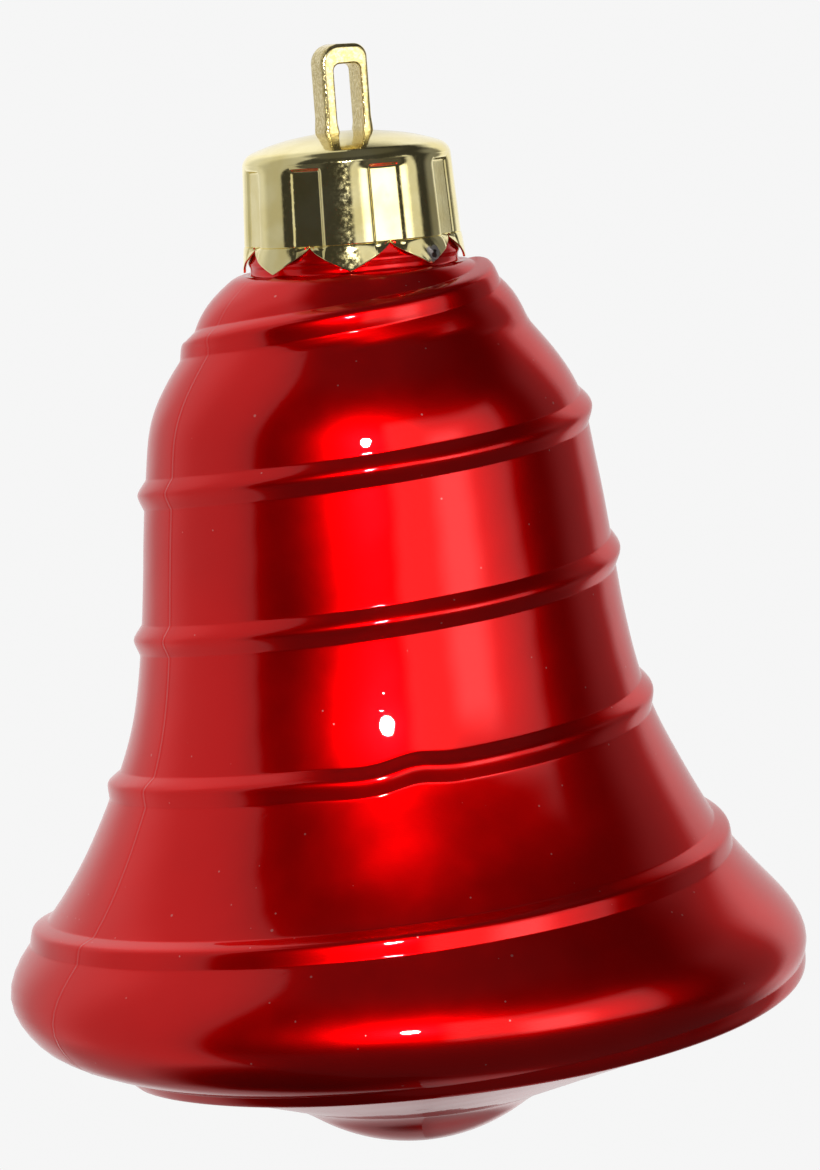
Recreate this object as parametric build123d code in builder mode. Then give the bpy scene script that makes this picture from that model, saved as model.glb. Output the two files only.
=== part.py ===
from build123d import *
import math
import os

# A hanging Christmas bell: a hollow blow-moulded bell, the moulded cap pushed on its neck, and
# the loop the cap hangs by. Millimetres, +Z up. The origin is the hanging point, under the
# loop's crown, where a hook or a thread bears, so nearly every height is negative.

# Bell
crease_radius = 14.7
crease_z = -23.2
rim_radius = 35.15
rim_z = -79.0
cone_edge_radius = 30.0
cone_edge_z = -84.3
cone_root_radius = 13.0
cone_root_z = -90.1
boss_z = -94.8
boss_radius = 9.6
boss_sphere_radius = 17.0
boss_depth = boss_sphere_radius - math.sqrt(boss_sphere_radius**2 - boss_radius**2)
wall = 1.0

# Neck: a steep taper inside the cap, a bead under it, and a ledge where the shoulder starts
mouth_radius = 8.3
mouth_z = -8.9
neck_radius = 8.8
neck_z = -15.3
collar_radius = 9.05
bead_radius = 9.2
bead_z = -16.6
bead_half_height = 0.4
ledge_radius = 9.9
ledge_z = -17.6

# Raised ridge: a round section sunk in the wall, wound down the bell as a right-handed helix
ridge_first_z = -17.75
ridge_pitch = 12.6
ridge_lean = 0.55
ridge_bearing = 339.0
ridge_start = -0.06
ridge_end = 5.5
ridge_fade = 0.06
ridge_section_radius = 1.5
ridge_height = 0.6
ridge_spans = 66

# Cap
apex_z = -5.75
dome_middle = (3.8, -6.05)
dome_edge = (8.2, -7.15)
skirt_top = (9.05, -8.1)
fold = (9.42, -15.15)
tip = (9.68, -17.4)
tip_bore_radius = 9.42
petal_bore = (9.22, -15.9)
skirt_bore_bottom = (8.92, -14.9)
skirt_bore_top = (8.42, -8.4)
ceiling_edge = (7.8, -7.8)
ceiling_flat_radius = 3.9
ceiling_z = -6.7
petals = 8
flute_arc = 18.0
flute_depth = 0.22
flute_top_z = -8.5
flute_bottom_z = -15.05
notch_z = -15.25

# Loop: its hole runs along Y, and its foot goes down through the dome to a flange
loop_width = 4.3
loop_band = 3.0
loop_crown = 1.75
loop_corner_radius = 1.4
eye_width = 2.5
eye_corner_radius = 0.6
loop_chamfer = 0.2
foot_clearance = 0.02
flange_width = 5.7
flange_depth = 4.4
flange_thickness = 0.6

os.makedirs("parts", exist_ok=True)


# Bell outline, from the neck's mouth to the middle of the boss: radius and height
with BuildLine() as outline:
    Polyline(
        (0, mouth_z),
        (mouth_radius, mouth_z),
        (neck_radius, neck_z),
        (collar_radius, bead_z + bead_half_height),
    )
    ThreePointArc(
        (collar_radius, bead_z + bead_half_height),
        (bead_radius, bead_z),
        (collar_radius, bead_z - bead_half_height),
    )
    Polyline(
        (collar_radius, bead_z - bead_half_height),
        (collar_radius, ledge_z),
        (ledge_radius, ledge_z),
    )
    shoulder = Spline(
        (ledge_radius, ledge_z),
        (10.4, -17.75),
        (11.3, -18.35),
        (12.8, -19.7),
        (13.9, -21.25),
        (crease_radius, crease_z),
    )
    body = Spline(
        (crease_radius, crease_z),
        (16.3, -25.3),
        (17.9, -27.8),
        (18.85, -30.1),
        (19.4, -33.2),
        (20.1, -38.6),
        (20.8, -45.6),
        (21.6, -51.6),
        (23.0, -57.5),
        (25.1, -62.5),
        (27.6, -67.4),
        (30.1, -71.2),
        (32.4, -74.0),
        (34.15, -76.2),
        (34.95, -77.8),
        (rim_radius, rim_z),
        (34.95, -80.1),
        (34.2, -81.5),
        (33.1, -82.75),
        (31.7, -83.6),
        (cone_edge_radius, cone_edge_z),
    )
    cone = Line((cone_edge_radius, cone_edge_z), (cone_root_radius, cone_root_z))
    boss_root = TangentArc(
        (cone_root_radius, cone_root_z),
        (boss_radius, boss_z + boss_depth),
        tangent=(cone_root_radius - cone_edge_radius, cone_root_z - cone_edge_z),
    )
    boss = RadiusArc((boss_radius, boss_z + boss_depth), (0, boss_z), boss_sphere_radius)
    Line((0, boss_z), (0, mouth_z))


def below_surface(curve, parameter, depth):
    """Point at a depth under the outline."""
    tangent = curve % parameter
    return curve @ parameter + Vector(tangent.Y, -tangent.X) * depth


def parameter_at(curve, z):
    """Where on a falling curve of the outline a height is."""
    low, high = 0.0, 1.0
    for _ in range(30):
        middle = (low + high) / 2
        if (curve @ middle).Y > z:
            low = middle
        else:
            high = middle
    return low


def ridge_centre(turn):
    """Centre of the ridge's section, deeper in the wall at both ends so that it fades out."""
    angle = math.radians(-360 * turn)
    z = min(ridge_first_z - ridge_pitch * turn - ridge_lean * math.cos(angle), ledge_z - 0.5)
    curve = next(c for c in (shoulder, body, cone) if (c @ 1).Y <= z)
    fade = max(0.0, 1 - min(turn - ridge_start, ridge_end - turn) / ridge_fade)
    depth = ridge_section_radius - ridge_height * (1 - fade)
    centre = below_surface(curve, parameter_at(curve, z), depth)
    bearing = math.radians(ridge_bearing) + angle
    return Vector(centre.X * math.cos(bearing), centre.X * math.sin(bearing), centre.Y)


with BuildPart() as bell_shell:
    with BuildSketch(Plane.XZ):
        add(outline.line)
        make_face()
    revolve(axis=Axis.Z)
    turn_step = (ridge_end - ridge_start) / ridge_spans
    with BuildLine() as ridge_line:
        Spline(*[ridge_centre(ridge_start + turn_step * i) for i in range(ridge_spans + 1)])
    with BuildSketch(Plane(origin=ridge_line.line @ 0, z_dir=ridge_line.line % 0)):
        Circle(ridge_section_radius)
    sweep(path=ridge_line.line)
    # Hollow it from the mouth down, which also trims the ridge flush with the inner wall
    inner = [
        tuple(below_surface(curve, i / count, wall))[:2]
        for curve, count in ((shoulder, 4), (body, 24), (cone, 2), (boss_root, 2), (boss, 3))
        for i in range(count)
    ]
    with BuildSketch(Plane.XZ):
        with BuildLine():
            Polyline(
                (0, boss_z + wall),
                (0, mouth_z + wall),
                (mouth_radius - wall, mouth_z + wall),
                (neck_radius - wall, neck_z),
                (collar_radius - wall, ledge_z - wall),
                inner[0],
            )
            Spline(*inner, (0, boss_z + wall))
        make_face()
    revolve(axis=Axis.Z, mode=Mode.SUBTRACT)

bell_shell.part.label = "bell_shell"
export_step(bell_shell.part, "parts/bell_shell.step")

with BuildPart() as hanger_cap:
    with BuildSketch(Plane.XZ):
        with BuildLine():
            ThreePointArc((0, apex_z), dome_middle, dome_edge)
            TangentArc(dome_edge, skirt_top, tangent=(1, -0.3))
            Polyline(
                skirt_top,
                fold,
                tip,
                (tip_bore_radius, tip[1]),
                petal_bore,
                skirt_bore_bottom,
                skirt_bore_top,
                ceiling_edge,
                (ceiling_flat_radius, ceiling_z),
                (0, ceiling_z),
                (0, apex_z),
            )
        make_face()
    revolve(axis=Axis.Z)
    # Flutes over the notches, closed at the top, which follow the skirt's slope
    half_arc = math.radians(flute_arc / 2)
    half_chord = skirt_top[0] * math.sin(half_arc)
    sagitta = flute_depth - skirt_top[0] * (1 - math.cos(half_arc))
    flute_radius = (half_chord**2 + sagitta**2) / (2 * sagitta)
    skirt_slope = math.degrees(math.atan2(fold[0] - skirt_top[0], skirt_top[1] - fold[1]))
    with BuildSketch(Plane(origin=(0, 0, flute_top_z), x_dir=(1, 0, 0), z_dir=(0, 0, -1))):
        with PolarLocations(skirt_top[0] - flute_depth + flute_radius, petals):
            Circle(flute_radius)
    extrude(amount=flute_top_z - flute_bottom_z, taper=skirt_slope, mode=Mode.SUBTRACT)
    # Notches between the pointed petals, cut on past the tips
    notch_bottom_z = 2 * tip[1] - notch_z
    notch_half_width = 2 * tip[0] * math.sin(math.pi / petals)
    for i in range(petals):
        angle = 2 * math.pi * i / petals
        notch_plane = Plane(
            origin=(0, 0, 0),
            x_dir=(-math.sin(angle), math.cos(angle), 0),
            z_dir=(math.cos(angle), math.sin(angle), 0),
        )
        with BuildSketch(notch_plane):
            Polygon(
                (0, notch_z),
                (-notch_half_width, notch_bottom_z),
                (notch_half_width, notch_bottom_z),
                align=None,
            )
        extrude(amount=2 * tip[0], mode=Mode.SUBTRACT)
    # Opening for the loop's foot
    with BuildSketch(Plane.XY.offset(ceiling_z - wall)):
        Rectangle(loop_width + 2 * foot_clearance, loop_band + 2 * foot_clearance)
    extrude(amount=apex_z - ceiling_z + 2 * wall, mode=Mode.SUBTRACT)

hanger_cap.part.label = "hanger_cap"
export_step(hanger_cap.part, "parts/hanger_cap.step")

with BuildPart() as hanger_loop:
    with BuildSketch(Plane.XZ):
        with Locations((0, (loop_crown + ceiling_z) / 2)):
            Rectangle(loop_width, loop_crown - ceiling_z)
        fillet(vertices().group_by(Axis.Y)[-1], loop_corner_radius)
        with Locations((0, apex_z / 2)):
            RectangleRounded(eye_width, -apex_z, eye_corner_radius, mode=Mode.SUBTRACT)
    extrude(amount=loop_band / 2, both=True)
    front_edges = faces().sort_by(Axis.Y)[0].outer_wire().edges()
    back_edges = faces().sort_by(Axis.Y)[-1].outer_wire().edges()
    chamfer([e for e in front_edges + back_edges if e.center().Z > ceiling_z], loop_chamfer)
    with BuildSketch(Plane.XY.offset(ceiling_z)):
        Rectangle(flange_width, flange_depth)
    extrude(amount=-flange_thickness)

hanger_loop.part.label = "hanger_loop"
export_step(hanger_loop.part, "parts/hanger_loop.step")
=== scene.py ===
"""Looks of the hanging bell ornament: finer meshes, materials, lights and camera."""
import math

import bpy
import numpy as np
from mathutils import Matrix, Vector


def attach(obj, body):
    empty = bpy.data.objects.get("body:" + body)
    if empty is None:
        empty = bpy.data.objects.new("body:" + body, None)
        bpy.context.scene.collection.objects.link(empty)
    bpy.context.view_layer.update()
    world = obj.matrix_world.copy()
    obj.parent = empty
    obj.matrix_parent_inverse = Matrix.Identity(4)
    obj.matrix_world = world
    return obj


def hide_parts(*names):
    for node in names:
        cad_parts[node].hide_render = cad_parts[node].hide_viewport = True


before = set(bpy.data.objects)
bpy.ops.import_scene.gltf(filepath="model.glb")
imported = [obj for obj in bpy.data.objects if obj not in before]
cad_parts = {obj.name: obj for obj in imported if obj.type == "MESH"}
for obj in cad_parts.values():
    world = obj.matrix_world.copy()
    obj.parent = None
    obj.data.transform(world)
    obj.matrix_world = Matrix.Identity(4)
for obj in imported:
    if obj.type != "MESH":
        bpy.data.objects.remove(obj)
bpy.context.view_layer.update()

MM = 0.001
TAU = 2 * math.pi

# Heights and radii in millimetres, origin at the hanging point, as in the CAD
SHOULDER = [
    (9.9, -17.6), (10.4, -17.75), (11.3, -18.35), (12.8, -19.7), (13.9, -21.25), (14.7, -23.2),
]
BODY = [
    (14.7, -23.2), (16.3, -25.3), (17.9, -27.8), (18.85, -30.1), (19.4, -33.2), (20.1, -38.6),
    (20.8, -45.6), (21.6, -51.6), (23.0, -57.5), (25.1, -62.5), (27.6, -67.4), (30.1, -71.2),
    (32.4, -74.0), (34.15, -76.2), (34.95, -77.8), (35.15, -79.0), (34.95, -80.1), (34.2, -81.5),
    (33.1, -82.75), (31.7, -83.6), (30.0, -84.3),
]
CONE_ROOT = (13.0, -90.1)
BOSS_RADIUS = 9.6
BOSS_Z = -94.8
BOSS_SPHERE = 17.0
WALL = 1.0
LEDGE_Z = -17.6

# Raised ridge, a right-handed helix: turns are counted from the right of the picture
RIDGE_BEARING = 339.0
RIDGE_FIRST_Z = -17.75
RIDGE_PITCH = 12.6
RIDGE_LEAN = 0.55
RIDGE_START = -0.06
RIDGE_END = 5.5
RIDGE_FADE = 0.06
RIDGE_PEAK = 0.64
RIDGE_ROUND = 0.36
RIDGE_SPREAD = 1.34
RIDGE_FLANK = RIDGE_PEAK / (math.hypot(RIDGE_SPREAD, RIDGE_ROUND) - RIDGE_ROUND)


def natural_spline(points, count):
    """Points and tangents of a natural cubic spline through the given points, by chord length."""
    p = np.array(points, float)
    t = np.r_[0, np.cumsum(np.linalg.norm(np.diff(p, axis=0), axis=1))]
    h = np.diff(t)
    n = len(p)
    a = np.zeros((n, n))
    b = np.zeros((n, 2))
    a[0, 0] = a[-1, -1] = 1
    for i in range(1, n - 1):
        a[i, i - 1], a[i, i], a[i, i + 1] = h[i - 1], 2 * (h[i - 1] + h[i]), h[i]
        b[i] = 6 * ((p[i + 1] - p[i]) / h[i] - (p[i] - p[i - 1]) / h[i - 1])
    m = np.linalg.solve(a, b)
    u = np.linspace(0, t[-1], count)
    k = np.clip(np.searchsorted(t, u, side="right") - 1, 0, n - 2)
    x, hk = (u - t[k])[:, None], h[k][:, None]
    y = hk - x
    bend = (m[k] * y**3 + m[k + 1] * x**3) / (6 * hk)
    return bend + (p[k] / hk - m[k] * hk / 6) * y + (p[k + 1] / hk - m[k + 1] * hk / 6) * x


def arc_points(start, end, tangent, count):
    """Points of the arc that leaves start along tangent and reaches end."""
    s, e = np.array(start, float), np.array(end, float)
    d = np.array(tangent, float)
    d /= np.linalg.norm(d)
    side = np.array([-d[1], d[0]])
    chord = e - s
    radius = chord @ chord / (2 * (chord @ side))
    centre = s + side * radius
    a0 = math.atan2(*(s - centre)[::-1])
    a1 = math.atan2(*(e - centre)[::-1])
    turn = (a1 - a0 + math.pi) % TAU - math.pi
    a = a0 + turn * np.linspace(0, 1, count)
    return centre + abs(radius) * np.c_[np.cos(a), np.sin(a)]


def smooth(values, sigma):
    """Gaussian smoothing of a profile's points, ends kept."""
    reach = int(4 * sigma)
    kernel = np.exp(-0.5 * (np.arange(-reach, reach + 1) / sigma) ** 2)
    kernel /= kernel.sum()
    before = 2 * values[0] - values[reach:0:-1]
    after = 2 * values[-1] - values[-2 : -reach - 2 : -1]
    pad = np.r_[before, values, after]
    return np.convolve(pad, kernel, "valid")


class Profile:
    """A lathe profile by arc length, with its tangent, outward normal and curvature."""

    def __init__(self, points, step=0.02, sigma=8.0):
        p = np.array(points, float)
        p = p[np.r_[True, np.linalg.norm(np.diff(p, axis=0), axis=1) > 1e-6]]
        length = np.r_[0, np.cumsum(np.linalg.norm(np.diff(p, axis=0), axis=1))]
        s = np.arange(0, length[-1], step)
        r = smooth(np.interp(s, length, p[:, 0]), sigma)
        z = smooth(np.interp(s, length, p[:, 1]), sigma)
        self.s = np.r_[0, np.cumsum(np.hypot(np.diff(r), np.diff(z)))]
        self.r, self.z = r, z
        tr, tz = np.gradient(r, self.s), np.gradient(z, self.s)
        n = np.hypot(tr, tz)
        self.tr, self.tz = tr / n, tz / n
        angle = np.unwrap(np.arctan2(self.tz, self.tr))
        self.k = np.gradient(angle, self.s)
        self.length = self.s[-1]

    def at(self, s, name):
        return np.interp(s, self.s, getattr(self, name))

    def s_at_z(self, z):
        return np.interp(-np.asarray(z), -self.z, self.s)


boss_depth = BOSS_SPHERE - math.sqrt(BOSS_SPHERE**2 - BOSS_RADIUS**2)
cone_dir = (CONE_ROOT[0] - BODY[-1][0], CONE_ROOT[1] - BODY[-1][1])
boss_edge = (BOSS_RADIUS, BOSS_Z + boss_depth)
cap_angle = np.linspace(math.asin(BOSS_RADIUS / BOSS_SPHERE), 0, 60)
boss_points = np.c_[
    BOSS_SPHERE * np.sin(cap_angle),
    BOSS_Z + BOSS_SPHERE - BOSS_SPHERE * np.cos(cap_angle),
]
outer = Profile(
    np.vstack([
        natural_spline(SHOULDER, 80),
        natural_spline(BODY, 700),
        arc_points(CONE_ROOT, boss_edge, cone_dir, 30),
        boss_points,
    ])
)


# ---- Bell surface -------------------------------------------------------------------------

# Where the ridge's line slips a little: turn, rise in millimetres and width in turns
JOGS = ((3.236, 0.38, 0.014), (3.268, -0.22, 0.02))
# Beyond the shell the crest's line runs on at an even pace, only to line up the mesh
CREST_FIRST = -0.02
CREST_LAST = 5.55
PACE_ABOVE = 12.0
PACE_BELOW = 14.0


def ridge_z(turn):
    """Height of the ridge's crest after so many turns."""
    z = RIDGE_FIRST_Z - RIDGE_PITCH * turn - RIDGE_LEAN * np.cos(TAU * turn)
    for middle, rise, width in JOGS:
        z = z + rise * np.exp(-(((turn - middle) / width) ** 2))
    return np.minimum(z, LEDGE_Z - 0.5)


def crest_s(turn):
    """Arc length of the crest."""
    turn = np.asarray(turn, float)
    s = outer.s_at_z(ridge_z(np.minimum(turn, CREST_LAST)))
    s = s + np.maximum(turn - CREST_LAST, 0) * PACE_BELOW
    return s + np.minimum(turn - CREST_FIRST, 0) * PACE_ABOVE


def smooth_max(a, b, k):
    return 0.5 * (a + b + np.sqrt((a - b) ** 2 + k * k))


def ridge_bump(column, s):
    """Height of the ridge over the bell's surface. column is the turn fraction, s the arc length."""
    best = np.zeros(np.broadcast(column, s).shape)
    rad = np.maximum(outer.at(s, "r"), 5.0)
    for k in range(-1, 7):
        turn = column + k
        slope = (crest_s(turn + 0.01) - crest_s(turn - 0.01)) / 0.02
        across = (s - crest_s(turn)) / np.sqrt(1 + (slope / (TAU * rad)) ** 2)
        fade = np.clip(np.minimum(turn - RIDGE_START, RIDGE_END - turn) / RIDGE_FADE, 0, 1)
        fade = fade * fade * (3 - 2 * fade)
        height = RIDGE_PEAK - RIDGE_FLANK * (np.sqrt(across**2 + RIDGE_ROUND**2) - RIDGE_ROUND)
        height = (height + RIDGE_PEAK) * fade - RIDGE_PEAK
        best = np.maximum(best, smooth_max(height, 0.0, 0.035) - 0.0002)
    return best


SEAMS = (math.radians(189.0), math.radians(9.0))
# Each seam is a fine raised line beside a fine groove: place across it, height and width
SEAM_LINES = ((0.22, 0.02, 0.12), (-0.12, -0.018, 0.14))
# The waviness and the seams fade in below the ledge and out towards the boss
LEDGE_FADE = 0.6
FULL_RADIUS = 18.0


def waviness(theta, s):
    """The slight unevenness of a blown shell, in millimetres."""
    w = 0.016 * np.sin(3 * theta + 0.21 * s + 0.7) * np.sin(0.33 * s + 1.1)
    w = w + 0.011 * np.sin(7 * theta - 0.37 * s + 2.0)
    w = w + 0.006 * np.sin(13 * theta + 0.9 * s) * np.sin(5 * theta + 0.6 * s + 0.4)
    return w


def seam_line(theta, s):
    """Twin fine lines where the mould closed."""
    rad = outer.at(s, "r")
    total = 0.0
    for seam in SEAMS:
        across = ((theta - seam + math.pi) % TAU - math.pi) * rad
        for middle, height, width in SEAM_LINES:
            total = total + height * np.exp(-(((across - middle) / width) ** 2))
    return total


def displacement(column, s):
    theta = math.radians(RIDGE_BEARING) - TAU * column
    edge = np.clip(s / LEDGE_FADE, 0, 1) * np.clip(outer.at(s, "r") / FULL_RADIUS, 0, 1) ** 3
    return ridge_bump(column, s) + (waviness(theta, s) + seam_line(theta, s)) * edge


def bell_points(column, s):
    """Positions and normals of the bell's outside."""
    theta = math.radians(RIDGE_BEARING) - TAU * column
    d = displacement(column, s)
    eps = 0.02
    ds = (displacement(column, s + eps) - displacement(column, s - eps)) / (2 * eps)
    ec = 0.0004
    dc = (displacement(column + ec, s) - displacement(column - ec, s)) / (2 * ec * -TAU)
    r, z = outer.at(s, "r"), outer.at(s, "z")
    tr, tz, k = outer.at(s, "tr"), outer.at(s, "tz"), outer.at(s, "k")
    nr, nz = -tz, tr
    rho = r + d * nr
    zz = z + d * nz
    fs = ds / np.clip(1 - d * k, 0.3, 3)
    ft = dc / np.maximum(rho, 0.2)
    br, bz = nr - fs * tr, nz - fs * tz
    c, sn = np.cos(theta), np.sin(theta)
    pos = np.stack([rho * c, rho * sn, zz], -1)
    nor = np.stack([br * c + ft * sn, br * sn - ft * c, bz], -1)
    nor /= np.linalg.norm(nor, axis=-1, keepdims=True)
    return pos, nor


def column_list(base, extra):
    """Turn fractions round the bell, even ones plus close ones at the seams."""
    cols = list(np.arange(base) / base)
    for angle in extra:
        middle = ((math.radians(RIDGE_BEARING) - angle) / TAU) % 1.0
        cols += [(middle + math.radians(o) / TAU) % 1.0 for o in np.linspace(-1.6, 1.6, 17)]
    cols = np.unique(np.round(np.array(cols) % 1.0, 6))
    keep = [cols[0]]
    for c in cols[1:]:
        if c - keep[-1] > 0.00025:
            keep.append(c)
    return np.array(keep)


def make_mesh(name, verts, faces, normals=None):
    mesh = bpy.data.meshes.new(name)
    mesh.from_pydata([tuple(v) for v in np.asarray(verts) * MM], [], faces)
    mesh.validate(clean_customdata=False)
    mesh.update()
    for poly in mesh.polygons:
        poly.use_smooth = True
    if normals is not None:
        mesh.normals_split_custom_set_from_vertices([tuple(n) for n in normals])
    obj = bpy.data.objects.new(name, mesh)
    bpy.context.scene.collection.objects.link(obj)
    return obj


def mark_sharp(obj, degrees):
    """Edges that bend more than this stay crisp."""
    obj.data.set_sharp_from_angle(angle=math.radians(degrees))


# Rows of the mesh beside the ridge's crest, by distance from it, and evenly spaced rows between turns
CREST_ROWS = [
    0, 0.15, 0.3, 0.5, 0.75, 1.0, 1.15, 1.24, RIDGE_SPREAD - 0.04, RIDGE_SPREAD + 0.02, 1.44, 1.58, 1.75,
]
CREST_OFFSETS = np.array(sorted({-o for o in CREST_ROWS} | set(CREST_ROWS)))
GAP_ROWS = 14
SPIRAL_END_RADIUS = 20.0
UNDERSIDE_RINGS = 34
INSIDE_RINGS = 110

# Ledge, neck and mouth, then down the inside as far as the shoulder
NECK = [
    (9.75, -17.62), (9.3, -17.66), (9.14, -17.6), (9.06, -17.42), (9.04, -17.1), (9.08, -16.93),
    (9.16, -16.75), (9.2, -16.6), (9.16, -16.43), (9.08, -16.27), (9.0, -16.0), (8.8, -15.3),
    (8.55, -12.1), (8.33, -9.3), (8.27, -9.05), (8.12, -8.93), (7.85, -8.9), (7.55, -8.93),
    (7.38, -9.05), (7.34, -9.4), (7.5, -11.5), (7.8, -15.3), (8.02, -17.0), (8.2, -18.2), (8.7, -18.7),
]


def spiral_rows(column):
    """Arc lengths of one column's rows, which follow the ridge's turns down the bell."""
    rows = []
    for k in range(-1, 8):
        crest, following = crest_s(column + k), crest_s(column + k + 1)
        rows += [crest + o for o in CREST_OFFSETS]
        a, b = crest + CREST_OFFSETS[-1], following + CREST_OFFSETS[0]
        rows += [a + (b - a) * (i + 1) / (GAP_ROWS + 1) for i in range(GAP_ROWS)]
    return np.array(rows)


def spiral_grid(columns, s_end):
    """The spiral mesh from the ledge to s_end: each point's column and arc length, and the grid of points."""
    span = np.clip(np.array([spiral_rows(c) for c in columns]), 0.0, s_end)
    if np.any(span[:, 0] != 0.0):
        raise RuntimeError("the rows don't reach the ledge")
    index = -np.ones(span.shape, int)
    point_columns, point_s = [], []
    for j, column in enumerate(columns):
        ends = {}
        for i, s in enumerate(span[j]):
            # All of a column's rows past either end share one point
            if s in ends:
                index[j, i] = ends[s]
                continue
            if s in (0.0, s_end):
                ends[s] = len(point_s)
            index[j, i] = len(point_s)
            point_columns.append(column)
            point_s.append(s)
    return np.array(point_columns), np.array(point_s), index


def spiral_faces(index):
    """Faces of the spiral mesh. The last column joins the first one a turn further down."""
    count, rows = index.shape
    per_pass = len(CREST_OFFSETS) + GAP_ROWS
    faces = []
    for j in range(count):
        # The first column's first pass lies on the ledge, so the shift leaves nothing open there
        right, shift = (index[0], per_pass) if j == count - 1 else (index[j + 1], 0)
        for i in range(rows - 1 - shift):
            corners = (index[j, i], right[i + shift], right[i + 1 + shift], index[j, i + 1])
            face = tuple(dict.fromkeys(int(v) for v in corners))
            if len(face) > 2:
                faces.append(face)
    return faces


class Shell:
    """A mesh that grows by rings of points, one in each column."""

    def __init__(self, pos, nor, faces):
        self.verts, self.normals, self.faces = [pos], [nor], faces
        self.total = len(pos)

    def add(self, pos, nor):
        self.verts.append(pos)
        self.normals.append(nor)
        ring = list(range(self.total, self.total + len(pos)))
        self.total += len(pos)
        return ring

    def bridge(self, upper, lower):
        for j in range(len(upper)):
            k = (j + 1) % len(upper)
            self.faces.append((upper[j], upper[k], lower[k], lower[j]))


def build_bell():
    columns = column_list(360, SEAMS)
    count = len(columns)
    cone = outer.z < BODY[-1][1] - 0.2
    s_end = float(np.interp(-SPIRAL_END_RADIUS, -outer.r[cone], outer.s[cone]))
    point_columns, point_s, index = spiral_grid(columns, s_end)
    shell = Shell(*bell_points(point_columns, point_s), spiral_faces(index))
    top_ring = [int(v) for v in index[:, 0]]

    # Underside, from the end of the spiral mesh to the middle of the boss
    previous = [int(v) for v in index[:, -1]]
    for s in np.linspace(s_end, outer.length - 0.15, UNDERSIDE_RINGS)[1:]:
        ring = shell.add(*bell_points(columns, np.full(count, s)))
        shell.bridge(previous, ring)
        previous = ring
    tip = shell.add(np.array([[0, 0, outer.z[-1]]]), np.array([[0, 0, -1.0]]))[0]
    for j in range(count):
        shell.faces.append((previous[j], previous[(j + 1) % count], tip))

    # Ledge, neck, mouth and the inside, as plain rings
    inside_s = np.linspace(0.4, outer.length - 0.5, INSIDE_RINGS)
    inner = np.c_[
        outer.at(inside_s, "r") + outer.at(inside_s, "tz") * WALL,
        outer.at(inside_s, "z") - outer.at(inside_s, "tr") * WALL,
    ]
    path = np.vstack([NECK, inner[inner[:, 0] > 0.3]])
    length = np.r_[0, np.cumsum(np.linalg.norm(np.diff(path, axis=0), axis=1))]
    tangent = np.gradient(path, length, axis=0)
    tangent /= np.linalg.norm(tangent, axis=1)[:, None]
    # Walking up the neck's outside, outward is to the right of the way
    outward = np.c_[tangent[:, 1], -tangent[:, 0]]
    theta = math.radians(RIDGE_BEARING) - TAU * columns
    cs, sn = np.cos(theta), np.sin(theta)
    previous = top_ring
    for (r, z), (nr, nz) in zip(path, outward):
        pos = np.c_[r * cs, r * sn, np.full(count, z)]
        ring = shell.add(pos, np.c_[nr * cs, nr * sn, np.full(count, nz)])
        shell.bridge(ring, previous)
        previous = ring
    floor = shell.add(np.array([[0, 0, BOSS_Z + WALL]]), np.array([[0, 0, 1.0]]))[0]
    for j in range(count):
        shell.faces.append((previous[j], floor, previous[(j + 1) % count]))
    return make_mesh("bell_skin", np.vstack(shell.verts), shell.faces, np.vstack(shell.normals))


bell = build_bell()
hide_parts("bell_shell")
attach(bell, "bell")


# ---- Cap ----------------------------------------------------------------------------------

LOBES = 8
PITCH = 360 / LOBES
APEX_Z = -5.75
CEILING_Z = -6.7
DOME_MIDDLE = (3.8, -6.05)
DOME_EDGE = (8.2, -7.15)
SKIRT_TOP = (9.05, -8.1)
FOLD_RADIUS = 9.42
FOLD_Z = -15.15
FOLD_GROOVE = 0.06
FOLD_WIDTH = 0.045
NOTCH_Z = -15.25
PETAL_Z = -17.4
PETAL_FLARE = 0.26
PETAL_CURVE = 0.82
PETAL_FOOT = (9.2, -15.1)
FLUTE_TOP = -8.55
FLUTE_HALF = 9.0
FLUTE_STEP = 0.15
LOBE_BULGE = 0.27
CAP_WALL = 0.15
BORE_RADIUS = 9.2
BORE_TOP_Z = -8.2
CAP_CREASE = 38

# The moulding's scar on the petal at the front right
SCAR = Vector((3.95, -8.75, -16.55))
SCAR_HEIGHT = 0.13
SCAR_AREA = 0.5

# Columns from the middle of a flute to the middle of a lobe, in degrees, close at the flute's edge
CAP_STEPS = np.array([
    0, 1.5, 3, 4.5, 5.6, 6.5, 7.2, 7.7, 8.1, 8.4, 8.65, 8.85, 9.0, 9.15, 9.4, 10, 11, 12.5, 14,
    15.5, 17, 18.5, 20, 21.2, 22, 22.5,
])
SKIRT_ROWS = np.r_[
    np.arange(-8.15, -9.9, -0.07), np.linspace(-10.0, -14.8, 22), -14.95, -15.03, -15.08, -15.12, FOLD_Z
]
PETAL_ROWS = (0.015, 0.06, 0.13, 0.22, 0.33, 0.45, 0.58, 0.71, 0.83, 0.92, 0.975)
# How the petals' lower edge turns in: step inwards and step up
EDGE_TURN = ((0.03, 0.01), (0.12, 0.0), (0.21, 0.02))
CAP_BORE = (
    (9.12, -15.0), (8.95, -14.85), (8.75, -12.5), (8.5, -9.4), (8.4, -8.5), (8.2, -8.1), (7.8, -7.75),
    (6.5, -7.3), (5, -6.9), (3.9, CEILING_Z), (2, CEILING_Z), (0.4, CEILING_Z),
)


def step_between(x, low, high):
    t = np.clip((x - low) / (high - low), 0, 1)
    return t * t * (3 - 2 * t)


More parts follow.
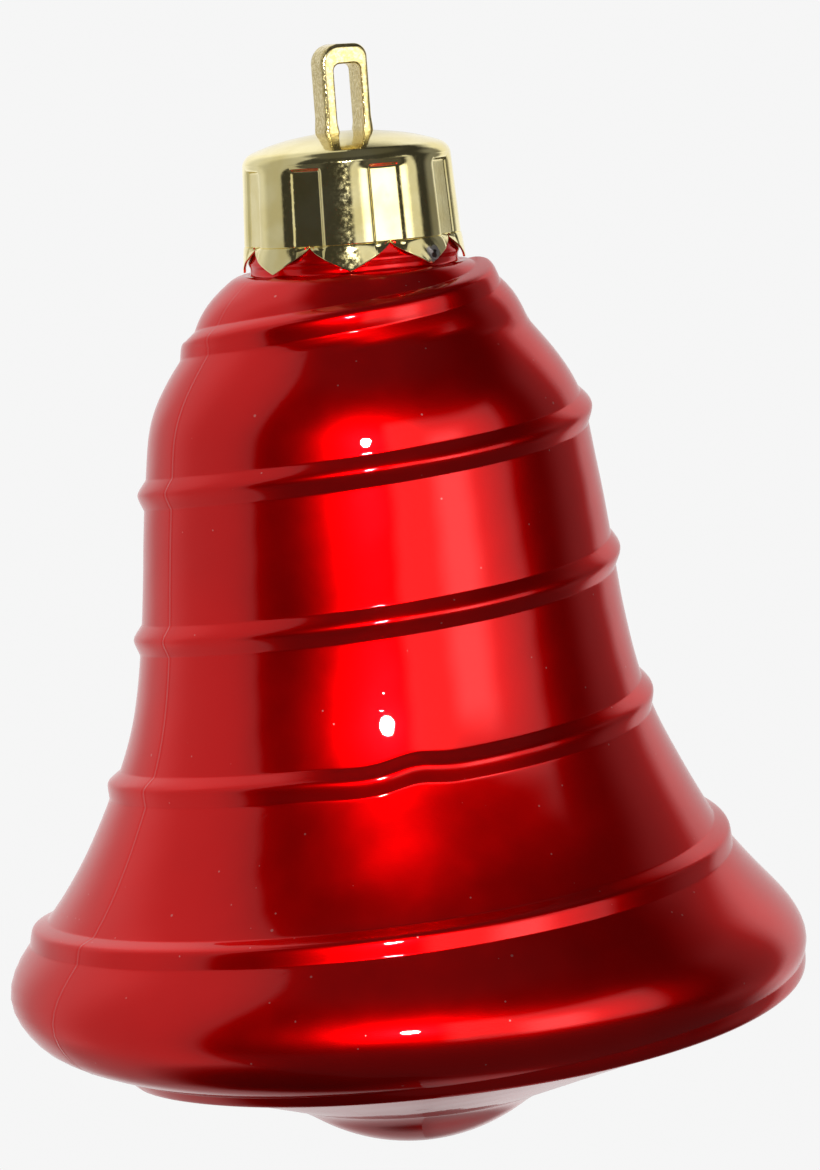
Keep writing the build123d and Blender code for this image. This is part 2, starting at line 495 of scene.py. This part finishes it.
def lobe_inset(angle, radius, z):
    """How far the skirt lies inside its plain round form; angle in degrees from the middle of a flute."""
    side = np.clip((PITCH / 2 - angle) / (PITCH / 2 - FLUTE_HALF), 0, 1)
    crown = LOBE_BULGE * side**2
    share = np.clip(angle / FLUTE_HALF, 0, 1)
    chord = radius * (1 - math.cos(math.radians(FLUTE_HALF))) * (1 - share**2)
    half = math.radians(FLUTE_HALF) * radius
    side_gap = half - np.abs(np.radians(angle) * radius)
    floor = step_between(side_gap, -0.08, 0.2) * step_between(FLUTE_TOP - z, -0.1, 0.22)
    fade = step_between(-z, 7.9, 9.0)
    return fade * crown + floor * (FLUTE_STEP + chord * fade)


def skirt_radius(z):
    """Radius of the skirt's plain round form."""
    return np.interp(-z, [-SKIRT_TOP[1], -FOLD_Z], [SKIRT_TOP[0], FOLD_RADIUS])


def cap_outside(near):
    """Rows of the dome and the skirt, each as its points' radii and heights."""
    count = len(near)
    dome_r = np.linspace(0.35, 3.6, 9)
    dome_drop = APEX_Z - DOME_MIDDLE[1]
    top = np.vstack([
        np.c_[dome_r, APEX_Z - dome_drop * (dome_r / DOME_MIDDLE[0]) ** 2],
        arc_points(DOME_MIDDLE, DOME_EDGE, (1, -0.12), 22),
        arc_points(DOME_EDGE, SKIRT_TOP, (1, -0.42), 12)[1:],
    ])
    rows = [(np.full(count, r), np.full(count, z)) for r, z in top]
    for z in SKIRT_ROWS:
        r = skirt_radius(z) - FOLD_GROOVE * math.exp(-(((z - FOLD_Z) / FOLD_WIDTH) ** 2))
        rows.append((r - lobe_inset(near, r, z), np.full(count, z)))
    return rows


def cap_petals(near):
    """Rows of the petals, whose lower edge runs from the notch to the pointed tip and turns in."""
    fold_inset = lobe_inset(near, FOLD_RADIUS, FOLD_Z)

    def petal_radius(z):
        low = np.clip((FOLD_Z - z) / (FOLD_Z - PETAL_Z), 0, 1)
        return FOLD_RADIUS + PETAL_FLARE * np.sqrt(low) - fold_inset * (1 - low) ** 2

    share = np.clip(near / (PITCH / 2), 0, 1)
    edge_z = NOTCH_Z - (NOTCH_Z - PETAL_Z) * share**PETAL_CURVE
    edge_r = petal_radius(edge_z)
    heights = [FOLD_Z + (edge_z + 0.03 - FOLD_Z) * t for t in PETAL_ROWS]
    rows = [(petal_radius(z), z) for z in heights]
    rows += [(edge_r - inset, edge_z + rise) for inset, rise in EDGE_TURN]
    foot_r = np.minimum(edge_r - 0.24, 9.44)
    for t in (0, 0.3, 0.7):
        rows.append((foot_r + (PETAL_FOOT[0] - foot_r) * t, edge_z + 0.08 + (PETAL_FOOT[1] - edge_z) * t))
    return rows


def cap_inside(near):
    """Rows of the bore and the ceiling. The bore is drawn in where a flute would break the wall."""
    rows = []
    for r, z in CAP_BORE:
        wall = skirt_radius(z) - lobe_inset(near, BORE_RADIUS, z) - CAP_WALL
        radii = np.minimum(r, wall) if z < BORE_TOP_Z else np.full(len(near), r)
        rows.append((radii, np.full(len(near), z)))
    return rows


def add_scar(grid):
    """The grid of points with a small rough lump raised on one petal."""
    gap = grid - np.array(SCAR)
    grain = 0.6 + np.sin(9 * grid[..., 0] + 7 * grid[..., 2])
    lump = SCAR_HEIGHT * np.exp(-(np.sum(gap**2, -1) / SCAR_AREA)) * grain
    radial = grid * np.array([1, 1, 0])
    return grid + radial / np.maximum(np.linalg.norm(radial, axis=-1, keepdims=True), 0.1) * lump[..., None]


def build_cap():
    one = np.r_[CAP_STEPS, PITCH - CAP_STEPS[-2:0:-1]]
    angles = np.concatenate([one + PITCH * k for k in range(LOBES)])
    near = np.abs((angles + PITCH / 2) % PITCH - PITCH / 2)
    rows = cap_outside(near) + cap_petals(near) + cap_inside(near)
    theta = np.radians(angles)
    cs, sn = np.cos(theta), np.sin(theta)
    grid = add_scar(np.array([np.c_[r * cs, r * sn, z] for r, z in rows]))
    n, count = grid.shape[:2]
    apex = n * count
    verts = np.vstack([grid.reshape(-1, 3), [[0, 0, APEX_Z], [0, 0, CEILING_Z]]])
    faces = []
    for i in range(n - 1):
        for j in range(count):
            k = (j + 1) % count
            faces.append((i * count + j, (i + 1) * count + j, (i + 1) * count + k, i * count + k))
    for j in range(count):
        k = (j + 1) % count
        faces.append((apex, j, k))
        faces.append((apex + 1, (n - 1) * count + k, (n - 1) * count + j))
    skin = make_mesh("cap_skin", verts, faces)
    mark_sharp(skin, CAP_CREASE)
    return skin


cap = build_cap()
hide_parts("hanger_cap")
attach(cap, "cap")


# ---- Loop ---------------------------------------------------------------------------------

LOOP_HALF = 2.15
LOOP_TOP = 1.75
LOOP_FOOT = -6.55
LEFT_CORNER = 1.7
RIGHT_CORNER = 1.15
CROWN_DROP = 0.04
EYE_HALF = 1.22
EYE_SHIFT = 0.16
EYE_CORNER = 0.6
BAND_HALF = 1.5
OUTER_BEVEL = 0.42
EYE_BEVEL = 0.16
# How far the legs' two faces stand out towards the foot, by height
OUTER_FLARE = ((-4.6, 0.0), (-5.6, 0.1), (LOOP_FOOT, 0.12))
EYE_FLARE = ((-5.1, 0.0), (-5.7, -0.12), (LOOP_FOOT, -0.18))
LEG_POINTS = 36
CORNER_POINTS = 14
CROWN_POINTS = 16
FLANGE_HALF = (2.85, 2.2)
# Heights of the flange's levels and how far each is drawn in
FLANGE_LEVELS = ((-6.72, 0.1), (-6.8, 0), (-7.2, 0), (-7.3, 0.1))
LOOP_CREASE = 40


def corner(centre, radius, start, end, count):
    a = np.radians(np.linspace(start, end, count))
    return [(centre[0] + radius * math.cos(t), centre[1] + radius * math.sin(t)) for t in a]


def resample(points, count):
    p = np.array(points)
    d = np.r_[0, np.cumsum(np.linalg.norm(np.diff(p, axis=0), axis=1))]
    u = np.linspace(0, d[-1], count)
    return np.c_[np.interp(u, d, p[:, 0]), np.interp(u, d, p[:, 1])]


def band_line(half, left_top, right_top, left_radius, right_radius, flare):
    """One face of the band: up the left leg, over the crown and down the right leg."""
    left = (-half + left_radius, left_top - left_radius)
    right = (half - right_radius, right_top - right_radius)
    left_leg = [(-half - out, z) for z, out in reversed(flare)]
    right_leg = [(half + out, z) for z, out in flare]
    return np.vstack([
        resample(left_leg + [(-half, left[1])], LEG_POINTS),
        resample(corner(left, left_radius, 180, 90, 30), CORNER_POINTS)[1:],
        resample([(left[0], left_top), (right[0], right_top)], CROWN_POINTS)[1:],
        resample(corner(right, right_radius, 90, 0, 30), CORNER_POINTS)[1:],
        resample([(half, right[1])] + right_leg, LEG_POINTS)[1:],
    ])


def band_section():
    """The band's section: u, 0 at the eye and 1 outside, v, -1 to 1 along the eye, and a step from there."""
    corners = ((1, 1, 0), (0, 1, 90), (0, -1, 180), (1, -1, 270))
    section = []
    for n, (cu, cv, first) in enumerate(corners):
        bevel = OUTER_BEVEL if cu else EYE_BEVEL
        for a in range(0, 91, 15):
            t = math.radians(first + a)
            section.append((cu, cv, bevel * (math.cos(t) + (-1 if cu else 1)), bevel * (math.sin(t) - cv)))
        next_u, next_v, _ = corners[(n + 1) % len(corners)]
        if cu == next_u:
            du, dv = section[-1][2:]
            section += [(cu, cv + (next_v - cv) * f, du, dv * (1 - 2 * f)) for f in (0.25, 0.5, 0.75)]
    return section


def build_loop():
    outer_line = band_line(LOOP_HALF, LOOP_TOP, LOOP_TOP - CROWN_DROP, LEFT_CORNER, RIGHT_CORNER, OUTER_FLARE)
    inner_line = band_line(EYE_HALF, 0, 0, EYE_CORNER, EYE_CORNER, EYE_FLARE)
    inner_line[:, 0] += EYE_SHIFT
    section = band_section()
    verts = []
    for o, i in zip(outer_line, inner_line):
        d = o - i
        unit = d / np.linalg.norm(d)
        for u, v, du, dv in section:
            p = i + d * u + unit * du
            verts.append((p[0], v * BAND_HALF + dv, p[1]))
    ring = len(section)
    stations = len(outer_line)
    faces = []
    for a in range(stations - 1):
        for b in range(ring):
            c = (b + 1) % ring
            faces.append((a * ring + b, (a + 1) * ring + b, (a + 1) * ring + c, a * ring + c))
    faces.append(tuple(range(ring)))
    faces.append(tuple((stations - 1) * ring + b for b in reversed(range(ring))))
    # The flange under the cap's ceiling, a closed form of its own
    first = len(verts)
    for z, inset in FLANGE_LEVELS:
        for sx, sy in ((1, 1), (-1, 1), (-1, -1), (1, -1)):
            verts.append((sx * (FLANGE_HALF[0] - inset), sy * (FLANGE_HALF[1] - inset), z))
    for level in range(len(FLANGE_LEVELS) - 1):
        a = first + level * 4
        for b in range(4):
            c = (b + 1) % 4
            faces.append((a + b, a + 4 + b, a + 4 + c, a + c))
    faces.append(tuple(first + b for b in range(4)))
    faces.append(tuple(len(verts) - 1 - b for b in range(4)))
    skin = make_mesh("loop_skin", verts, faces)
    mark_sharp(skin, LOOP_CREASE)
    return skin


loop = build_loop()
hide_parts("hanger_loop")
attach(loop, "cap")


# ---- Materials ----------------------------------------------------------------------------

class Graph:
    """Short ways to add and join shader nodes."""

    def __init__(self, tree):
        self.tree = tree
        tree.nodes.clear()

    def add(self, kind, inputs=None, **settings):
        node = self.tree.nodes.new(kind)
        for key, value in settings.items():
            setattr(node, key, value)
        for key, value in (inputs or {}).items():
            self.put(node.inputs[key], value)
        return node

    def put(self, socket, value):
        if isinstance(value, bpy.types.NodeSocket):
            self.tree.links.new(value, socket)
        else:
            socket.default_value = value

    def math(self, operation, a, b=None):
        node = self.add("ShaderNodeMath", operation=operation)
        self.put(node.inputs[0], a)
        if b is not None:
            self.put(node.inputs[1], b)
        return node.outputs[0]

    def ramp_up(self, value, low, high, out_low=0.0, out_high=1.0):
        inputs = {"Value": value, "From Min": low, "From Max": high, "To Min": out_low, "To Max": out_high}
        node = self.add("ShaderNodeMapRange", inputs, interpolation_type="SMOOTHSTEP")
        return node.outputs["Result"]

    def noise(self, vector, scale, detail, rough):
        inputs = {"Vector": vector, "Scale": scale, "Detail": detail, "Roughness": rough}
        return self.add("ShaderNodeTexNoise", inputs).outputs["Fac"]

    def cells(self, vector, scale):
        return self.add("ShaderNodeTexVoronoi", {"Vector": vector, "Scale": scale})

    def mix(self, fac, a, b):
        node = self.add("ShaderNodeMix", data_type="RGBA")
        self.put(node.inputs[0], fac)
        self.put(node.inputs[6], a)
        self.put(node.inputs[7], b)
        return node.outputs[2]

    def bump(self, height, strength, distance):
        inputs = {"Height": height, "Strength": strength, "Distance": distance}
        return self.add("ShaderNodeBump", inputs).outputs["Normal"]


def material(obj, name):
    mat = bpy.data.materials.new(name)
    mat.use_nodes = True
    obj.data.materials.clear()
    obj.data.materials.append(mat)
    return Graph(mat.node_tree)


def finish_material(g, shader):
    out = g.add("ShaderNodeOutputMaterial")
    g.tree.links.new(shader.outputs["BSDF"], out.inputs["Surface"])


def dust_specks(g, where, scale, share, size):
    """A mask of sparse round specks: one cell in so many, each a little off its centre."""
    cells = g.cells(where, scale)
    near = g.ramp_up(cells.outputs["Distance"], size, size * 0.55)
    pick = g.add("ShaderNodeSeparateColor", {"Color": cells.outputs["Color"]}).outputs["Red"]
    chosen = g.math("LESS_THAN", pick, share)
    return g.math("MULTIPLY", near, chosen)


def red_lacquer(obj):
    g = material(obj, "red_lacquer")
    where = g.add("ShaderNodeTexCoord").outputs["Object"]
    flake = g.noise(where, scale=9000.0, detail=2.0, rough=0.6)
    cloud = g.noise(where, scale=60.0, detail=3.0, rough=0.5)
    specks = dust_specks(g, where, 700.0, 0.05, 0.11)
    fine = dust_specks(g, where, 1500.0, 0.035, 0.16)
    dust = g.math("MAXIMUM", specks, fine)
    tint = g.mix(g.ramp_up(cloud, 0.35, 0.7), (0.84, 0.0003, 0.0008, 1), (0.93, 0.0004, 0.001, 1))
    speckled = g.mix(g.math("MULTIPLY", dust, 0.55), tint, (0.9, 0.42, 0.4, 1))
    rough = g.ramp_up(g.noise(where, scale=260.0, detail=3.0, rough=0.6), 0.3, 0.75, 0.3, 0.33)
    flake_normal = g.bump(flake, strength=0.16, distance=0.00004)
    orange_peel = g.noise(where, scale=420.0, detail=2.0, rough=0.45)
    grit = g.noise(where, scale=2600.0, detail=1.0, rough=0.5)
    pimple = g.math("ADD", g.math("MULTIPLY", orange_peel, 0.35), g.math("MULTIPLY", specks, 0.3))
    pimple = g.math("ADD", pimple, g.math("MULTIPLY", grit, 0.14))
    slant = {"Vector": where, "Rotation": (0.5, 0.3, 0.8), "Scale": (0.05, 1.0, 1.0)}
    hair_where = g.add("ShaderNodeMapping", slant).outputs[0]
    hairs = g.ramp_up(g.noise(hair_where, scale=1300.0, detail=1.0, rough=0.5), 0.7, 0.76)
    pimple = g.math("ADD", pimple, g.math("MULTIPLY", hairs, -0.25))
    coat_normal = g.bump(pimple, strength=0.22, distance=0.00003)
    shader = g.add("ShaderNodeBsdfPrincipled", {
        "Base Color": speckled,
        "Metallic": 0.965,
        "Specular IOR Level": 0.0,
        "Specular Tint": (0.4, 0.01, 0.01, 1),
        "Roughness": rough,
        "Normal": flake_normal,
        "Coat Weight": 0.65,
        "Coat Roughness": 0.018,
        "Coat IOR": 1.52,
        "Coat Normal": coat_normal,
    })
    finish_material(g, shader)


# Where the scar's grey rim and its dark core begin and are full, in metres from its middle. The dark core is
# painted shade, standing in for the shaded inside of a hole
SCAR_RIM = (0.00125, 0.00095)
SCAR_PAINTED_SHADE = (0.00072, 0.00058)


def gold_cap(obj):
    g = material(obj, "gold_cap")
    where = g.add("ShaderNodeTexCoord").outputs["Object"]
    speckle = g.noise(where, scale=2600.0, detail=3.0, rough=0.6)
    cloud = g.noise(where, scale=350.0, detail=2.0, rough=0.5)
    tint = g.mix(g.ramp_up(cloud, 0.3, 0.7), (0.88, 0.75, 0.33, 1), (0.97, 0.86, 0.45, 1))
    away = g.add("ShaderNodeVectorMath", {0: where, 1: tuple(SCAR * MM)}, operation="DISTANCE")
    ragged = g.math("MULTIPLY", g.noise(where, scale=1500.0, detail=2.0, rough=0.5), 0.0007)
    patchy = g.math("ADD", away.outputs["Value"], ragged)
    tint = g.mix(g.ramp_up(patchy, *SCAR_RIM), tint, (0.42, 0.4, 0.38, 1))
    # Painted shade: a near-black core standing in for the dark inside of a hole, which the mesh does not have
    tint = g.mix(g.ramp_up(patchy, *SCAR_PAINTED_SHADE), tint, (0.05, 0.035, 0.03, 1))
    scarred = g.ramp_up(patchy, *SCAR_RIM, 0.0, 0.3)
    rough = g.math("ADD", g.ramp_up(speckle, 0.3, 0.75, 0.05, 0.16), scarred)
    grain = g.math("ADD", g.math("MULTIPLY", speckle, 0.6), cloud)
    normal = g.bump(grain, strength=0.22, distance=0.00003)
    shader = g.add("ShaderNodeBsdfPrincipled", {
        "Base Color": tint, "Metallic": 0.97, "Roughness": rough, "Normal": normal,
    })
    finish_material(g, shader)


def gold_loop(obj):
    g = material(obj, "gold_loop")
    where = g.add("ShaderNodeTexCoord").outputs["Object"]
    pits = g.noise(where, scale=2900.0, detail=3.0, rough=0.6)
    lines_where = g.add("ShaderNodeMapping", {"Vector": where, "Scale": (0.15, 0.15, 1.0)}).outputs[0]
    lines = g.noise(lines_where, scale=2600.0, detail=2.0, rough=0.5)
    facing = g.add("ShaderNodeNewGeometry").outputs["Normal"]
    split = g.add("ShaderNodeSeparateXYZ", {"Vector": facing})
    outward = g.ramp_up(g.math("MULTIPLY", split.outputs["X"], -1.0), 0.2, 0.8)
    pitted = g.math("MULTIPLY", pits, g.ramp_up(outward, 0, 1, 0.12, 1.7))
    height = g.math("ADD", pitted, g.math("MULTIPLY", lines, 0.25))
    tint = g.mix(g.ramp_up(pits, 0.35, 0.7), (0.66, 0.52, 0.2, 1), (0.93, 0.8, 0.43, 1))
    rough = g.ramp_up(outward, 0.0, 1.0, 0.13, 0.26)
    normal = g.bump(height, strength=0.9, distance=0.00012)
    shader = g.add("ShaderNodeBsdfPrincipled", {
        "Base Color": tint, "Metallic": 0.97, "Roughness": rough, "Normal": normal,
    })
    finish_material(g, shader)


red_lacquer(bell)
gold_cap(cap)
gold_loop(loop)


# ---- Studio -------------------------------------------------------------------------------

VIEW_AZIMUTH = math.radians(-21.0)
VIEW_ELEVATION = math.radians(7.0)
VIEW_ROLL = math.radians(4.4)
VIEW_DISTANCE = 0.434
AIM = Vector((0, 0, -0.0457))
AIM_RIGHT = 0.00267
LENS = 152.6
PALE = 0.92
BASE_GLOW = 0.012
FLASH_AZIMUTH = -1.0
FLASH_ELEVATION = 16.5
FLASH_DISTANCE = 0.9
FLASH_RADIUS_DEGREES = 2.9
FLASH_RADIANCE = 380.0
FLOOR_HALF = 6.0
FLOOR_Z = -0.9

to_camera = Vector((
    math.sin(VIEW_AZIMUTH) * math.cos(VIEW_ELEVATION),
    -math.cos(VIEW_AZIMUTH) * math.cos(VIEW_ELEVATION),
    math.sin(VIEW_ELEVATION),
))
level_right = Vector((math.cos(VIEW_AZIMUTH), math.sin(VIEW_AZIMUTH), 0))
level_up = to_camera.cross(level_right)
level_front = Vector((to_camera.x, to_camera.y, 0)).normalized()


def studio_direction(azimuth, elevation):
    """A direction from the bell: azimuth 0 is over the camera and grows to its right, both in degrees."""
    a, e = math.radians(azimuth), math.radians(elevation)
    level = level_front * math.cos(a) + level_right * math.sin(a)
    return level * math.cos(e) + Vector((0, 0, math.sin(e)))


# Panels of the studio: azimuth from, to, its edges' softness, elevation from, to, softness, strength
PANELS = [
    (-182, -62, 3, -50, 66, 6, 0.46),
    (-182, -112, 12, -28, 66, 6, 0.22),
    (-182, -146, 10, -35, 45, 10, 0.34),
    (10, 75, 4, -12, 30, 4, 0.7),
    (32, 50, 6, -11, 17, 6, 1.5),
    (105, 182, 10, -28, 35, 8, 0.18),
    (134, 182, 6, -28, 38, 8, 0.78),
    (150, 182, 8, -74, -20, 10, 0.42),
    (-62, 150, 6, -92, -24, 8, 0.045),
    (-182, 182, 1, 58, 92, 8, 0.05),
]


def build_world():
    world = bpy.data.worlds.new("studio")
    bpy.context.scene.world = world
    world.use_nodes = True
    g = Graph(world.node_tree)
    way = g.add("ShaderNodeTexCoord").outputs["Generated"]

    def along(axis):
        node = g.add("ShaderNodeVectorMath", {0: way, 1: tuple(axis)}, operation="DOT_PRODUCT")
        return node.outputs["Value"]

    bearing = g.math("ARCTAN2", along(level_right), along(level_front))
    azimuth = g.math("MULTIPLY", bearing, 180 / math.pi)
    elevation = g.math("MULTIPLY", g.math("ARCSINE", along((0, 0, 1))), 180 / math.pi)
    total = BASE_GLOW
    for a0, a1, a_soft, e0, e1, e_soft, strength in PANELS:
        patch = g.ramp_up(azimuth, a0 - a_soft, a0 + a_soft, 0.0, strength)
        for value, low, high in ((azimuth, a1 - a_soft, a1 + a_soft), (elevation, e1 - e_soft, e1 + e_soft)):
            patch = g.math("MULTIPLY", patch, g.ramp_up(value, low, high, 1.0, 0.0))
        patch = g.math("MULTIPLY", patch, g.ramp_up(elevation, e0 - e_soft, e0 + e_soft))
        total = g.math("ADD", total, patch)
    seen = g.add("ShaderNodeLightPath").outputs["Is Camera Ray"]
    studio = g.add("ShaderNodeBackground", {"Color": (1, 1, 1, 1), "Strength": total})
    paper = g.add("ShaderNodeBackground", {"Color": (PALE, PALE, PALE, 1), "Strength": 1.0})
    mixed = g.add("ShaderNodeMixShader", {0: seen})
    g.tree.links.new(studio.outputs[0], mixed.inputs[1])
    g.tree.links.new(paper.outputs[0], mixed.inputs[2])
    out = g.add("ShaderNodeOutputWorld")
    g.tree.links.new(mixed.outputs[0], out.inputs["Surface"])


def build_flash():
    light = bpy.data.lights.new("flash", "AREA")
    light.shape = "DISK"
    light.size = 2 * FLASH_DISTANCE * math.tan(math.radians(FLASH_RADIUS_DEGREES))
    area = math.pi * (light.size / 2) ** 2
    light.energy = FLASH_RADIANCE * math.pi * area
    lamp = bpy.data.objects.new("flash", light)
    way = studio_direction(FLASH_AZIMUTH, FLASH_ELEVATION)
    lamp.location = AIM + way * FLASH_DISTANCE
    lamp.rotation_euler = way.to_track_quat("Z", "Y").to_euler()
    bpy.context.scene.collection.objects.link(lamp)


def build_floor():
    mesh = bpy.data.meshes.new("floor")
    signs = ((-1, -1), (1, -1), (1, 1), (-1, 1))
    mesh.from_pydata([(x * FLOOR_HALF, y * FLOOR_HALF, FLOOR_Z) for x, y in signs], [], [(0, 1, 2, 3)])
    floor = bpy.data.objects.new("floor", mesh)
    bpy.context.scene.collection.objects.link(floor)
    mat = bpy.data.materials.new("paper")
    mat.use_nodes = True
    g = Graph(mat.node_tree)
    glow = g.add("ShaderNodeEmission", {"Color": (PALE, PALE, PALE, 1), "Strength": 1.0})
    out = g.add("ShaderNodeOutputMaterial")
    g.tree.links.new(glow.outputs[0], out.inputs["Surface"])
    mesh.materials.append(mat)
    floor.visible_glossy = False
    floor.visible_diffuse = False


def build_camera():
    data = bpy.data.cameras.new("camera")
    data.lens = LENS
    data.sensor_width = 36.0
    data.sensor_fit = "AUTO"
    data.clip_start = 0.01
    data.clip_end = 50.0
    camera = bpy.data.objects.new("camera", data)
    bpy.context.scene.collection.objects.link(camera)
    c, s = math.cos(VIEW_ROLL), math.sin(VIEW_ROLL)
    right = level_right * c - level_up * s
    up = level_right * s + level_up * c
    place = AIM + level_right * AIM_RIGHT + to_camera * VIEW_DISTANCE
    turn = Matrix((right, up, to_camera)).transposed().to_4x4()
    camera.matrix_world = Matrix.Translation(place) @ turn
    bpy.context.scene.camera = camera


build_world()
build_flash()
build_floor()
build_camera()
bpy.context.scene.view_settings.view_transform = "Standard"
bpy.context.scene.view_settings.look = "None"
